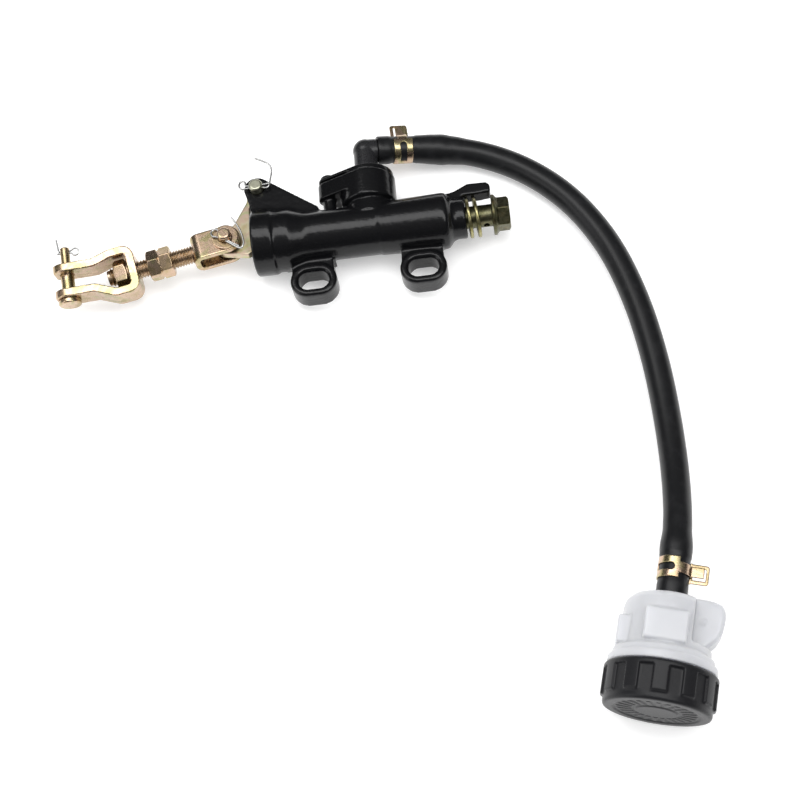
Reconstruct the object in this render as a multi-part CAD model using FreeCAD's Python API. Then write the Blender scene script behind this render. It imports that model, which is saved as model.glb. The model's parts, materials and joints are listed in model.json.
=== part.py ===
import FreeCAD, Part
import math
import os

# Rear foot-brake master cylinder with a remote fluid reservoir, in millimetres.
# +X runs along the cylinder towards its outlet, +Z along the mounting slots, +Z up.
# Origin: the centre of the two-slot pattern, on the lugs' back face.

# mounting lugs
slot_spacing = 48.0
slot_radius = 4.25
slot_length = 13.5
lug_length = 20.5
lug_height = 15.4
lug_thick = 10.5

# cylinder: its axis runs along X at this Y and Z
axis_y = 21.5
axis_z = 9.0
boot_end_x = -49.0
cavity_end_x = -34.0
cavity_radius = 11.2
bore_radius = 6.35
bore_end_x = 30.0
outlet_x = 44.5
neck_radius = 8.8
outlet_thread_radius = 4.9

# pivot of the lever, on the arm above the open end
pivot_x = -45.9
pivot_y = 45.8
pin_radius = 3.0
pin_clearance = 0.06
lever_thick = 4.0
arm_gap = 4.8
arm_thick = 13.2
pivot_split_turn = -88.0
link_split_turn = -118.0

# link pin at rest and the pull rod
link_x = -61.0
link_y = 23.2
rod_angle = 10.5
rod_radius = 4.0
rod_minor_radius = 3.35
rod_length = 41.8
bracket_thick = 2.4
bracket_depth = 11.6
bracket_height = 12.6

# clevis fork
fork_thick = 3.8
fork_width = 12.6
fork_roll = -10.0
fork_base = 42.6
clevis_reach = 29.7
clevis_offset = 3.0
clevis_bend = 7.0

# fluid inlet boss and elbow
inlet_x = 3.0
boss_radius = 12.2
boss_low_y = 33.0
boss_top_y = 46.4
ear_x = -14.6
ear_radius = 4.6
elbow_tube_radius = 5.2
elbow_centre_y = 62.3
elbow_tilt = 12.0
elbow_yaw = 3.3
elbow_reach = 5.4

# reservoir hose
hose_radius = 5.85
hose_bore_radius = 3.5
barb_radius = 3.2

# reservoir
reservoir_x = 104.9
reservoir_y = -162.8
reservoir_z = 16.1
reservoir_turn = -105.6
shoulder = -2.4
cap_radius = 21.6
cap_low = 26.4
cap_high = 41.8
thread_pitch = 4.0

V = FreeCAD.Vector


def cylinder(radius, start, end):
    """A round bar between two points."""
    axis = V(*end) - V(*start)
    return Part.makeCylinder(radius, axis.Length, V(*start), axis)


def ring(outer, inner, start, end):
    """A round bar with a hole along it."""
    axis = V(*end) - V(*start)
    hole = Part.makeCylinder(inner, axis.Length + 2, V(*start) - axis.normalize(), axis)
    return cylinder(outer, start, end).cut(hole)


def on_axis(outline):
    """A solid turned about the cylinder's axis from points (x, radius)."""
    points = [V(x, axis_y + r, axis_z) for x, r in outline]
    face = Part.Face(Part.makePolygon(points + points[:1]))
    return face.revolve(V(0, axis_y, axis_z), V(1, 0, 0), 360)


def turned(outline):
    """A solid turned about the local X axis from points (x, radius)."""
    points = [V(x, r, 0) for x, r in outline]
    face = Part.Face(Part.makePolygon(points + points[:1]))
    return face.revolve(V(0, 0, 0), V(1, 0, 0), 360)


def plate(outline, low, high):
    """A flat plate with straight sides, standing from low to high along Z."""
    points = [V(x, y, low) for x, y in outline]
    face = Part.Face(Part.makePolygon(points + points[:1]))
    return face.extrude(V(0, 0, high - low))


def belt(x1, y1, r1, x2, y2, r2, low, high):
    """A plate shaped like a belt drawn tight round two circles."""
    gap = math.hypot(x2 - x1, y2 - y1)
    along = math.atan2(y2 - y1, x2 - x1)
    lean = math.acos((r1 - r2) / gap)

    def point(x, y, r, angle):
        return V(x + r * math.cos(angle), y + r * math.sin(angle), low)

    a1 = point(x1, y1, r1, along + lean)
    a2 = point(x1, y1, r1, along + math.pi)
    a3 = point(x1, y1, r1, along - lean)
    b1 = point(x2, y2, r2, along - lean)
    b2 = point(x2, y2, r2, along)
    b3 = point(x2, y2, r2, along + lean)
    edges = [Part.Arc(a1, a2, a3).toShape(), Part.LineSegment(a3, b1).toShape()]
    edges += [Part.Arc(b1, b2, b3).toShape(), Part.LineSegment(b3, a1).toShape()]
    face = Part.Face(Part.Wire(edges))
    return face.extrude(V(0, 0, high - low))


def obround(x, y, length, height, low, high):
    """A plate with round ends, long side along X."""
    radius = height / 2
    half = length / 2 - radius
    return belt(x - half, y, radius, x + half, y, radius, low, high)


def hexagon(across_flats, start, end, turn=0.0):
    """A hexagonal prism between two points."""
    axis = V(*end) - V(*start)
    corner = across_flats / math.sqrt(3)
    points = [V(corner * math.cos(math.radians(60 * i)), corner * math.sin(math.radians(60 * i)), 0)
              for i in range(7)]
    prism = Part.Face(Part.makePolygon(points)).extrude(V(0, 0, axis.Length))
    prism.rotate(V(0, 0, 0), V(0, 0, 1), turn)
    turn_to_axis = FreeCAD.Rotation(V(0, 0, 1), axis)
    prism.Placement = FreeCAD.Placement(V(*start), turn_to_axis).multiply(prism.Placement)
    return prism


def nut(across_flats, bore, start, end, turn=0.0):
    """A hexagonal nut with chamfered corners and a plain bore."""
    prism = hexagon(across_flats, start, end, turn)
    axis = V(*end) - V(*start)
    reach = axis.Length
    corner = across_flats / math.sqrt(3)
    flat = across_flats / 2 * 0.97
    rise = (corner - flat) * 0.58
    points = [(0, 0), (0, flat), (rise, corner), (reach - rise, corner), (reach, flat), (reach, 0)]
    cone = turned(points)
    cone.Placement = FreeCAD.Placement(V(*start), FreeCAD.Rotation(V(1, 0, 0), axis))
    hole = Part.makeCylinder(bore, reach + 2, V(*start) - V(axis).normalize(), axis)
    return prism.common(cone).cut(hole)


def strip(points, thickness, width, bend):
    """A flat bar bent along a path in the XY plane, as wide as width along Z."""
    path = [V(x, y, 0) for x, y in points]
    left = []
    right = []
    for i, corner in enumerate(path):
        before = (corner - path[i - 1]).normalize() if i > 0 else None
        after = (path[i + 1] - corner).normalize() if i < len(path) - 1 else None
        before = before or after
        after = after or before
        side = V(-before.y - after.y, before.x + after.x, 0).normalize()
        half = thickness / 2 / (side.x * -after.y + side.y * after.x)
        left.append(corner + side * half)
        right.append(corner - side * half)
    outline = left + right[::-1]
    face = Part.Face(Part.makePolygon(outline + outline[:1]))
    bar = face.extrude(V(0, 0, width))
    bar.translate(V(0, 0, -width / 2))
    tight = []
    wide = []
    for i in range(1, len(path) - 1):
        turns_left = (path[i] - path[i - 1]).cross(path[i + 1] - path[i]).z > 0
        tight.append(left[i] if turns_left else right[i])
        wide.append(right[i] if turns_left else left[i])
    bar = bar.makeFillet(bend + thickness, [e for e in bar.Edges if upright_at(e, wide)])
    return bar.makeFillet(bend, [e for e in bar.Edges if upright_at(e, tight)])


def upright_at(edge, corners):
    """True for an edge along Z that passes one of the given corners."""
    ends = [v.Point for v in edge.Vertexes]
    if len(ends) < 2 or abs(ends[0].z - ends[1].z) < 0.5:
        return False
    return any(math.hypot(ends[0].x - c.x, ends[0].y - c.y) < 0.01 for c in corners)


def bent_wire(points, radius, bends):
    """A round wire along straight runs joined by tangent arcs of the given radii."""
    path = [V(*p) for p in points]
    edges = []
    start = path[0]
    for i in range(1, len(path) - 1):
        before = V(path[i] - path[i - 1]).normalize()
        after = V(path[i + 1] - path[i]).normalize()
        turn = before.getAngle(after)
        back = bends[i - 1] * math.tan(turn / 2)
        enter = path[i] - before * back
        leave = path[i] + after * back
        inwards = V(after - before).normalize()
        centre_gap = bends[i - 1] / math.cos(turn / 2)
        middle = path[i] + inwards * (centre_gap - bends[i - 1])
        if (enter - start).Length > 1e-6:
            edges.append(Part.LineSegment(start, enter).toShape())
        edges.append(Part.Arc(enter, middle, leave).toShape())
        start = leave
    edges.append(Part.LineSegment(start, path[-1]).toShape())
    spine = Part.Wire(edges)
    first = V(path[1] - path[0]).normalize()
    section = Part.Wire(Part.makeCircle(radius, path[0], first))
    return spine.makePipeShell([section], True, True)


def threaded(radius, minor, pitch, length):
    """A rod along local X whose thread is drawn as a row of ridges."""
    outline = [(0, 0), (0, minor)]
    turns = int((length - 1.0) / pitch)
    for i in range(turns):
        x = 0.5 + i * pitch
        outline.append((x + 0.08 * pitch, minor))
        outline.append((x + 0.46 * pitch, radius))
        outline.append((x + 0.62 * pitch, radius))
        outline.append((x + pitch, minor))
    outline += [(length, minor), (length, 0)]
    return turned(outline)


def along_rod(distance, offset=0.0, height=0.0):
    """A point beside the pull rod's axis, measured from the link pin."""
    angle = math.radians(rod_angle)
    x = link_x - distance * math.cos(angle) - offset * math.sin(angle)
    y = link_y - distance * math.sin(angle) + offset * math.cos(angle)
    return (x, y, axis_z + height)


def to_rod(shape):
    """Moves a shape drawn along local +X from the link pin onto the pull rod."""
    turn = FreeCAD.Rotation(V(0, 0, 1), 180 + rod_angle)
    shape.Placement = FreeCAD.Placement(V(link_x, link_y, axis_z), turn).multiply(shape.Placement)
    return shape


def to_reservoir(shape):
    """Moves a shape drawn along local +X onto the reservoir's axis."""
    turn = FreeCAD.Rotation(V(0, 0, 1), reservoir_turn)
    place = FreeCAD.Placement(V(reservoir_x, reservoir_y, reservoir_z), turn)
    shape.Placement = place.multiply(shape.Placement)
    return shape


def save(name, shape):
    """Writes one node and reports its volume."""
    shape = shape.removeSplitter()
    if len(shape.Solids) == 1:
        shape = shape.Solids[0]
    print(name, "solids", len(shape.Solids), "valid", shape.isValid(), "cm3", round(shape.Volume / 1000, 3))
    shape.exportStep("parts/" + name + ".step")


def lug(side):
    """One slotted mounting lug with its web up to the barrel."""
    x = side * slot_spacing / 2
    eye = obround(x, 0, lug_length, lug_height, 0, lug_thick)
    rims = [e for e in eye.Edges if abs(e.CenterOfMass.z - lug_thick) < 0.01]
    eye = eye.makeFillet(1.2, rims)
    web = plate([(x - 9.6, 1), (x + 9.6, 1), (x + 8.6, 14), (x - 8.6, 14)], 0.9, lug_thick - 0.9)
    return eye.fuse(web)


def slot_cut(side):
    """The slot through a lug, with a chamfered mouth on each face."""
    x = side * slot_spacing / 2
    cut = obround(x, 0, slot_length, 2 * slot_radius, -1, lug_thick + 1)
    mouth = obround(x, 0, slot_length + 1.6, 2 * slot_radius + 1.6, lug_thick - 0.8, lug_thick + 1)
    return cut.fuse(mouth)


def pivot_arm():
    """The forked arm that carries the lever's pivot pin."""
    low = axis_z - arm_thick / 2
    high = axis_z + arm_thick / 2
    eye = Part.makeCylinder(5.7, arm_thick, V(pivot_x, pivot_y, low), V(0, 0, 1))
    web = plate([(-51.3, 44.2), (-49.6, 38.0), (-49.0, 30), (-18, 30), (-19.5, 33.2), (-42.8, 50.6)], low, high)
    return eye.fuse(web)


def inlet_boss():
    """The round fluid inlet with its ear for the retaining screw."""
    main = Part.makeCylinder(boss_radius, boss_top_y - boss_low_y, V(inlet_x, -axis_z, boss_low_y), V(0, 0, 1))
    ear = belt(inlet_x, -axis_z, boss_radius, ear_x, -axis_z, ear_radius, boss_low_y + 5.4, boss_top_y)
    boss = main.fuse(ear).removeSplitter()
    boss = boss.makeFillet(1.0, [e for e in boss.Edges if e.BoundBox.ZMax < boss_low_y + 0.1])
    neck = Part.makeCone(11.2, 9.8, 9, V(inlet_x, -axis_z, boss_low_y - 7), V(0, 0, 1))
    post = Part.makeCylinder(2.9, 14, V(ear_x, -axis_z, boss_low_y - 5), V(0, 0, 1))
    boss = boss.fuse([neck, post])
    boss.rotate(V(0, 0, 0), V(1, 0, 0), -90)
    return boss


def cylinder_body():
    """The cast body: barrel, open boot end, neck, lugs, pivot arm, inlet and stop ear."""
    barrel = [(boot_end_x, 0), (boot_end_x, 13.9), (-48.3, 14.5), (-40.0, 14.5), (-39.2, 13.7)]
    barrel += [(-32.6, 13.7), (-31.2, 13.2), (-26.2, 11.5), (-24.6, 11.25), (6.2, 11.25), (6.9, 11.6)]
    barrel += [(34.8, 12.4), (36.2, 12.1), (37.2, 11.0), (38.4, 9.4), (40.2, neck_radius)]
    barrel += [(outlet_x - 0.4, neck_radius), (outlet_x, neck_radius - 0.4), (outlet_x, 0)]
    body = on_axis(barrel)
    stop = plate([(36.0, 26), (36.0, 32.6), (40.0, 33.2), (46.8, 36.5), (55.0, 36.1), (56.4, 34.6), (56.4, 31.2),
                  (49.5, 30.8), (43.2, 30.6), (42.5, 26)], axis_z - 2.6, axis_z + 4.4)
    stop = stop.makeFillet(1.0, [e for e in stop.Edges if e.BoundBox.XMin > 44.0 and e.BoundBox.ZLength > 1])
    ribs = plate([(-36, 18), (-18, 18), (-14, 9.5), (-36, 9.5)], 1.5, 9.0)
    body = body.fuse([lug(-1), lug(1), pivot_arm(), inlet_boss(), stop, ribs])
    cavity = [(boot_end_x - 1, 0), (boot_end_x - 1, 11.8), (boot_end_x + 0.6, cavity_radius), (-36.45, cavity_radius)]
    cavity += [(-36.45, 12.0), (-35.3, 12.0), (-35.3, cavity_radius), (cavity_end_x, cavity_radius)]
    cavity += [(cavity_end_x, bore_radius), (bore_end_x, bore_radius), (33.0, 3.0), (33.0, outlet_thread_radius)]
    cavity += [(outlet_x + 1, outlet_thread_radius), (outlet_x + 1, 0)]
    slot = Part.makeBox(13.0, 31.0, arm_gap, V(-53.0, 28.0, axis_z - arm_gap / 2))
    slot_end = Part.makeBox(2.0, 12.0, arm_gap, V(-40.2, 31.0, axis_z - arm_gap / 2))
    pin_hole = Part.makeCylinder(pin_radius + 0.02, 30, V(pivot_x, pivot_y, -6), V(0, 0, 1))
    well = Part.makeCylinder(7.6, 13.6, V(inlet_x, boss_top_y - 13.4, axis_z), V(0, 1, 0))
    supply = Part.makeCylinder(1.5, 12, V(-3.0, axis_y + 4, axis_z), V(0, 1, 0))
    relief = Part.makeCylinder(0.5, 12, V(6.0, axis_y + 4, axis_z), V(0, 1, 0))
    screw_hole = Part.makeCylinder(2.0, 10, V(ear_x, boss_top_y - 9.4, axis_z), V(0, 1, 0))
    cuts = [on_axis(cavity), slot, slot_end, slot_cut(-1), slot_cut(1), pin_hole, well, supply, relief, screw_hole]
    return body.cut(cuts)


def piston():
    """The piston: rear stem, two lands, a waist for the fluid and a nose for the spring."""
    land = bore_radius - 0.07
    outline = [(-41.7, 0), (-41.7, 2.6), (-40.9, 3.4), (-33.9, 3.4), (-33.9, land), (-26.5, land), (-26.5, 4.0)]
    outline += [(-23.0, 4.0), (-23.0, land), (-20.5, land), (-20.5, 4.2), (-4.5, 4.2), (-4.5, land), (0, land)]
    outline += [(0, 3.0), (5.2, 3.0), (6.0, 2.2), (6.0, 0)]
    return on_axis(outline)


def cup(start, end):
    """A rubber cup seal on the piston, its lip towards the outlet."""
    land = bore_radius - 0.05
    inner = 4.0 if start < -10 else 3.0
    lip = land - 0.9
    outline = [(start, inner), (start, land - 0.3), (end, land), (end, lip), (start + 1.4, lip - 0.4)]
    outline += [(start + 1.4, inner)]
    return on_axis(outline)


def return_spring():
    """The coil spring between the front cup and the outlet end of the bore."""
    helix = Part.makeHelix(3.9, 23.2, 4.9)
    section = Part.Wire(Part.makeCircle(0.6, V(4.9, 0, 0), V(0, 1, 0)))
    coil = Part.Wire(helix.Edges).makePipeShell([section], True, True)
    coil.rotate(V(0, 0, 0), V(0, 1, 0), 90)
    coil.translate(V(5.9, axis_y, axis_z))
    return coil


def dust_boot():
    """The rubber boot outside the circlip, folded once, open round the lever's nose."""
    outline = [(-36.6, cavity_radius), (-38.4, cavity_radius), (-39.6, 9.4), (-38.6, 6.9), (-39.4, 5.9)]
    outline += [(-39.4, 5.2), (-38.2, 5.2), (-37.5, 6.9), (-38.4, 9.2), (-36.6, 9.9)]
    return on_axis(outline)


def lever():
    """The flat lever: pivot eye, link eye, and a nose that pushes the piston."""
    low = axis_z - lever_thick / 2
    high = axis_z + lever_thick / 2
    pivot_eye = Part.makeCylinder(5.2, lever_thick, V(pivot_x, pivot_y, low), V(0, 0, 1))
    link_eye = Part.makeCylinder(5.8, lever_thick, V(link_x, link_y, low), V(0, 0, 1))
    sheet = plate([(-51.1, pivot_y), (-51.5, 42.0), (-57.6, 31.5), (-61.4, 28.9), (link_x, 17.4), (-52.0, 15.8),
                   (-50.4, 16.6), (-50.2, 39.5), (-44.0, 41.2), (-43.0, pivot_y)], low, high)
    nose = belt(-52.0, axis_y, 5.0, -45.0, axis_y, 3.0, low, high)
    body = pivot_eye.fuse([link_eye, sheet, nose])
    eye = Part.makeCylinder(pin_radius + pin_clearance, 20, V(pivot_x, pivot_y, 0), V(0, 0, 1))
    hole = Part.makeCylinder(pin_radius + pin_clearance, 20, V(link_x, link_y, 0), V(0, 0, 1))
    return body.cut([eye, hole])


def headed_pin(length, head_radius, head_thick, hole_at, tip=0.6):
    """A pin along local +X from under its head, with a cross hole for the split pin."""
    outline = [(-head_thick, 0), (-head_thick, head_radius - 0.5), (-head_thick + 0.5, head_radius), (0, head_radius)]
    outline += [(0, pin_radius), (length - tip, pin_radius), (length, pin_radius - tip), (length, 0)]
    pin = turned(outline)
    hole = Part.makeCylinder(0.9, 10, V(hole_at, -5, 0), V(0, 1, 0))
    return pin.cut(hole)


def split_pin(tail, bends, short):
    """A split pin along local +Y: ring eye at -Y, a short leg, and a long leg along the tail."""
    wire = 0.42
    eye = [(0.46, 2.2, 0), (0.46, -3.7, 0), (1.9, -5.1, 0), (1.5, -7.5, 0), (-1.5, -7.5, 0), (-1.9, -5.1, 0)]
    eye += [(-0.46, -3.7, 0), (-0.46, short, 0)]
    loop = bent_wire(eye, wire, [1.4, 0.9, 0.9, 0.9, 0.9, 1.4])
    return loop.fuse(bent_wire([(0.46, 2.0, 0)] + tail, wire, bends))


def pivot_pin():
    """The lever's pivot pin, its head behind the arm and its cross hole in front."""
    pin = headed_pin(17.0, 4.2, 1.6, 15.0)
    pin.rotate(V(0, 0, 0), V(0, 1, 0), -90)
    pin.rotate(V(0, 0, 0), V(0, 0, 1), pivot_split_turn)
    pin.translate(V(pivot_x, pivot_y, axis_z - arm_thick / 2 - 0.05))
    return pin


def pivot_split_pin():
    """The split pin through the front end of the pivot pin, one leg swept up in a long curl."""
    tail = [(0.46, 5.6, 0), (-3.2, 7.6, 0.2), (-8.2, 9.0, 0.7), (-12.6, 6.4, 1.3), (-13.6, 1.6, 1.7)]
    pin = split_pin(tail, [1.6, 3.2, 2.6, 3.6], 4.4)
    pin.rotate(V(0, 0, 0), V(0, 0, 1), pivot_split_turn)
    pin.translate(V(pivot_x, pivot_y, axis_z - arm_thick / 2 - 0.05 + 15.0))
    return pin


def link_bracket():
    """The U-shaped bracket that joins the lever to the pull rod."""
    inside = bracket_depth / 2 - bracket_thick / 2
    path = [(-0.5, -inside), (14.6, -inside), (14.6, inside), (-0.5, inside)]
    channel = strip(path, bracket_thick, bracket_height, 1.8)
    channel.rotate(V(0, 0, 0), V(1, 0, 0), 90)
    round_end = Part.makeCylinder(bracket_height / 2, 30, V(0, 0, -15), V(0, 0, 1))
    cheeks = Part.makeBox(26, 30, 30, V(-0.4, -15, -15)).common(channel)
    ends = ring(bracket_height / 2, 0.5, (0, 0, -bracket_depth / 2), (0, 0, bracket_depth / 2))
    gap = Part.makeBox(40, 30, bracket_depth - 2 * bracket_thick, V(-20, -15, -bracket_depth / 2 + bracket_thick))
    ends = ends.cut(gap)
    body = cheeks.fuse(ends)
    body = body.cut(Part.makeCylinder(pin_radius + 0.02, 30, V(0, 0, -15), V(0, 0, 1)))
    body = body.cut(Part.makeCylinder(rod_radius + 0.05, 12, V(10, 0, 0), V(1, 0, 0)))
    trim = round_end.fuse(Part.makeBox(40, 40, 40, V(0, -20, -20)))
    return to_rod(body.common(trim))


def link_pin():
    """The pin that hangs the bracket on the lever."""
    pin = headed_pin(16.2, 4.2, 1.6, 14.3)
    pin.rotate(V(0, 0, 0), V(0, 1, 0), -90)
    pin.rotate(V(0, 0, 0), V(0, 0, 1), link_split_turn)
    pin.translate(V(link_x, link_y, axis_z - bracket_depth / 2 - 0.05))
    return pin


def link_split_pin():
    """The split pin of the link pin, its long leg wrapped up beside the pin's end."""
    tail = [(0.46, 5.6, 0), (-2.4, 6.4, 0.3), (-6.6, 5.6, 0.6), (-9.6, 1.4, 0.9)]
    pin = split_pin(tail, [1.3, 2.2, 2.6], 7.8)
    pin.rotate(V(0, 0, 0), V(0, 0, 1), link_split_turn)
    pin.translate(V(link_x, link_y, axis_z - bracket_depth / 2 - 0.05 + 14.3))
    return pin


def threaded_rod():
    """The pull rod, threaded end to end."""
    rod = threaded(rod_radius, rod_minor_radius, 1.25, rod_length)
    rod.translate(V(12.6, 0, 0))
    return to_rod(rod)


def fork_profile():
    """The bent centre line of the clevis, drawn from tip to tip."""
    lean = math.radians(clevis_bend)
    reach = clevis_reach
    out = V(math.cos(lean), math.sin(lean), 0)
    side = V(-math.sin(lean), math.cos(lean), 0)
    centre = V(reach, clevis_offset, 0)
    half = 5.85
    high_in = centre + side * half - out * 12.5
    high_tip = centre + side * half + out * 5.4
    low_in = centre - side * half - out * 12.5
    low_tip = centre - side * half + out * 5.4
    points = [(high_tip.x, high_tip.y), (high_in.x, high_in.y), (reach - 21.0, 9.1), (0, 9.1)]
    points += [(0, -9.1), (reach - 20.5, -9.1), (low_in.x, low_in.y), (low_tip.x, low_tip.y)]
    return points, centre, out, side


def rod_clevis():
    """The joggled fork at the rod's far end, with round tips."""
    points, centre, out, side = fork_profile()
    points = [(x, -y) for x, y in points]
    bar = strip(points, fork_thick, fork_width, 1.4)
    across = V(side.x, -side.y, 0)
    forward = V(out.x, -out.y, 0)
    middle = V(centre.x, -centre.y, 0)
    tip = Part.makeCylinder(fork_width / 2, 40, middle - across * 20, across)
    rear = Part.makeBox(60, 60, 60)
    rear.translate(V(-60, -30, -30))
    turn = FreeCAD.Rotation(V(1, 0, 0), forward)
    rear.Placement = FreeCAD.Placement(middle, turn).multiply(rear.Placement)
    bar = bar.common(tip.fuse(rear))
    bar = bar.cut(Part.makeCylinder(pin_radius + 0.02, 40, middle - across * 20, across))
    bar = bar.cut(Part.makeCylinder(rod_radius + 0.12, 12, V(-6, 0, 0), V(1, 0, 0)))
    return to_fork(bar)


def to_fork(shape):
    """Moves a shape drawn from the fork's base onto the rolled fork on the rod."""
    shape.rotate(V(0, 0, 0), V(1, 0, 0), fork_roll)
    shape.translate(V(fork_base, 0, 0))
    return to_rod(shape)


def to_clevis(shape):
    """Moves a shape drawn along local +X, from under the lower cheek, onto the clevis holes."""
    points, centre, out, side = fork_profile()
    across = V(side.x, -side.y, 0)
    start = V(centre.x, -centre.y, 0) - across * 7.8
    place = FreeCAD.Placement(start, FreeCAD.Rotation(across, V(-across.y, across.x, 0), V(0, 0, 1), "XYZ"))
    shape.Placement = place.multiply(shape.Placement)
    return to_fork(shape)


def clevis_pin():
    """The clevis pin: its head under the lower cheek, a thinner end above the upper one."""
    outline = [(-2.4, 0), (-2.4, 4.4), (-1.9, 5.0), (-0.05, 5.0), (-0.05, pin_radius), (16.2, pin_radius)]
    outline += [(16.6, 2.1), (24.2, 2.1), (24.6, 1.7), (24.6, 0)]
    pin = turned(outline)
    return to_clevis(pin.cut(Part.makeCylinder(0.9, 10, V(22.6, -5, 0), V(0, 1, 0))))


def clevis_split_pin():
    """The split pin through the clevis pin's upper end, one leg standing straight up."""
    tail = [(0.46, 3.6, 0), (-1.8, 4.0, 0), (-6.4, 4.6, 0.4)]
    pin = split_pin(tail, [1.0, 4.0], 3.8)
    pin.rotate(V(0, 0, 0), V(0, 0, 1), 180)
    pin.rotate(V(0, 0, 0), V(1, 0, 0), 180)
    pin.rotate(V(0, 0, 0), V(0, 1, 0), 20)
    pin.translate(V(22.6, 0, 0))
    return to_clevis(pin)


def inlet_elbow():
    """The plastic elbow: spigot, collar, upright tube, round corner and barbed outlet."""
    tube = elbow_tube_radius
    upright = cylinder(tube, (inlet_x, boss_top_y + 0.4, axis_z), (inlet_x, elbow_centre_y, axis_z))
    collar = cylinder(7.4, (inlet_x, boss_top_y - 0.1, axis_z), (inlet_x, boss_top_y + 1.0, axis_z))
    spigot = cylinder(4.6, (inlet_x, boss_top_y - 9.0, axis_z), (inlet_x, boss_top_y + 0.4, axis_z))
    knee = Part.makeSphere(tube + 0.25, V(inlet_x, elbow_centre_y, axis_z))
    body = upright.fuse([collar, spigot, knee])
    outlet = turned([(0, 0), (0, 5.3), (elbow_reach, 5.3), (elbow_reach, barb_radius), (elbow_reach + 19, barb_radius),
                     (elbow_reach + 20, barb_radius - 0.6), (elbow_reach + 20, 0)])
    outlet = to_elbow(outlet)
    channel = to_elbow(cylinder(2.0, (0, 0, 0), (elbow_reach + 22, 0, 0)))
    drop = cylinder(2.6, (inlet_x, boss_top_y - 10, axis_z), (inlet_x, elbow_centre_y, axis_z))
    return body.fuse(outlet).cut([channel, drop])


def to_elbow(shape):
    """Moves a shape drawn along local +X onto the elbow's outlet."""
    turn = FreeCAD.Rotation(V(1, 0, 0), elbow_direction())
    shape.Placement = FreeCAD.Placement(V(inlet_x, elbow_centre_y, axis_z), turn)
    return shape


def elbow_direction():
    """The way the elbow's outlet points: along the cylinder, dipping to the table."""
    tilt = math.radians(elbow_tilt)
    yaw = math.radians(elbow_yaw)
    return V(math.cos(tilt) * math.cos(yaw), math.cos(tilt) * math.sin(yaw), -math.sin(tilt))


def elbow_retainer():
    """The thin plate over the elbow's collar, held by one screw."""
    keeper = belt(inlet_x, -axis_z, 11.6, ear_x, -axis_z, 4.2, boss_top_y + 1.05, boss_top_y + 2.4)
    rim = Part.makeCylinder(11.6, 1.08, V(inlet_x, -axis_z, boss_top_y + 0.02), V(0, 0, 1))
    rim = rim.cut(Part.makeCylinder(7.6, 6, V(inlet_x, -axis_z, boss_top_y - 2), V(0, 0, 1)))
    body = keeper.fuse(rim)
    body = body.cut(Part.makeCylinder(elbow_tube_radius + 0.3, 20, V(inlet_x, -axis_z, boss_top_y - 5), V(0, 0, 1)))
    body = body.cut(Part.makeCylinder(2.1, 20, V(ear_x, -axis_z, boss_top_y - 5), V(0, 0, 1)))
    body.rotate(V(0, 0, 0), V(1, 0, 0), -90)
    return body


def elbow_screw():
    """The countersunk-drive pan screw of the retaining plate."""
    top = boss_top_y + 2.42
    head = turned([(0, 0), (0, 3.5), (1.4, 3.3), (2.1, 2.4), (2.1, 0)])
    head.Placement = FreeCAD.Placement(V(ear_x, top, axis_z), FreeCAD.Rotation(V(1, 0, 0), V(0, 1, 0)))
    shank = cylinder(1.98, (ear_x, boss_top_y - 9.0, axis_z), (ear_x, top + 0.2, axis_z))
    drive_a = Part.makeBox(4.0, 1.4, 0.8, V(ear_x - 2.0, top + 1.2, axis_z - 0.4))
    drive_b = Part.makeBox(0.8, 1.4, 4.0, V(ear_x - 0.4, top + 1.2, axis_z - 2.0))
    return head.fuse(shank).cut([drive_a, drive_b])


def inlet_grommet():
    """The rubber seal between the elbow's spigot and the inlet well."""
    outline = [(0, 4.62), (0, 7.4), (3.0, 7.58), (6.0, 7.4), (8.0, 7.58), (8.0, 4.62)]
    seal = turned(outline)
    seal.Placement = FreeCAD.Placement(V(inlet_x, boss_top_y - 8.6, axis_z), FreeCAD.Rotation(V(1, 0, 0), V(0, 1, 0)))
    return seal


def banjo_bolt():
    """The hollow outlet bolt: hexagon, flange and shank with its cross hole."""
    shank = on_axis([(35.0, 0), (35.0, 4.3), (35.6, 4.86), (56.2, 4.86), (56.2, 0)])
    flange = on_axis([(56.0, 0), (56.0, 8.9), (57.2, 8.9), (58.4, 7.4), (58.4, 0)])
    head = hexagon(13.0, (58.2, axis_y, axis_z), (63.6, axis_y, axis_z), 8)
    head = head.common(on_axis([(58.0, 0), (58.0, 8.0), (62.5, 8.0), (63.6, 6.4), (63.6, 0)]))
    dimple = on_axis([(62.8, 0), (62.8, 3.6), (64.0, 4.4), (64.0, 0)])
    passage = on_axis([(34.0, 0), (34.0, 1.8), (54.0, 1.8), (54.0, 0)])
    cross = Part.makeCylinder(1.3, 14, V(53.2, axis_y - 7, axis_z), V(0, 1, 0))
    return shank.fuse([flange, head]).cut([dimple, passage, cross])


def crush_washers():
    """The two soft sealing washers waiting on the outlet bolt."""
    pair = []
    for x, lean in ((45.1, 4.0), (48.5, 5.0)):
        washer = turned([(0, 5.5), (0, 8.5), (0.35, 8.75), (1.15, 8.75), (1.5, 8.5), (1.5, 5.5)])
        washer.rotate(V(0.75, 0, 0), V(0, 0, 1), lean)
        washer.translate(V(x, axis_y - 0.35, axis_z))
        pair.append(washer)
    return Part.makeCompound(pair)


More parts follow.
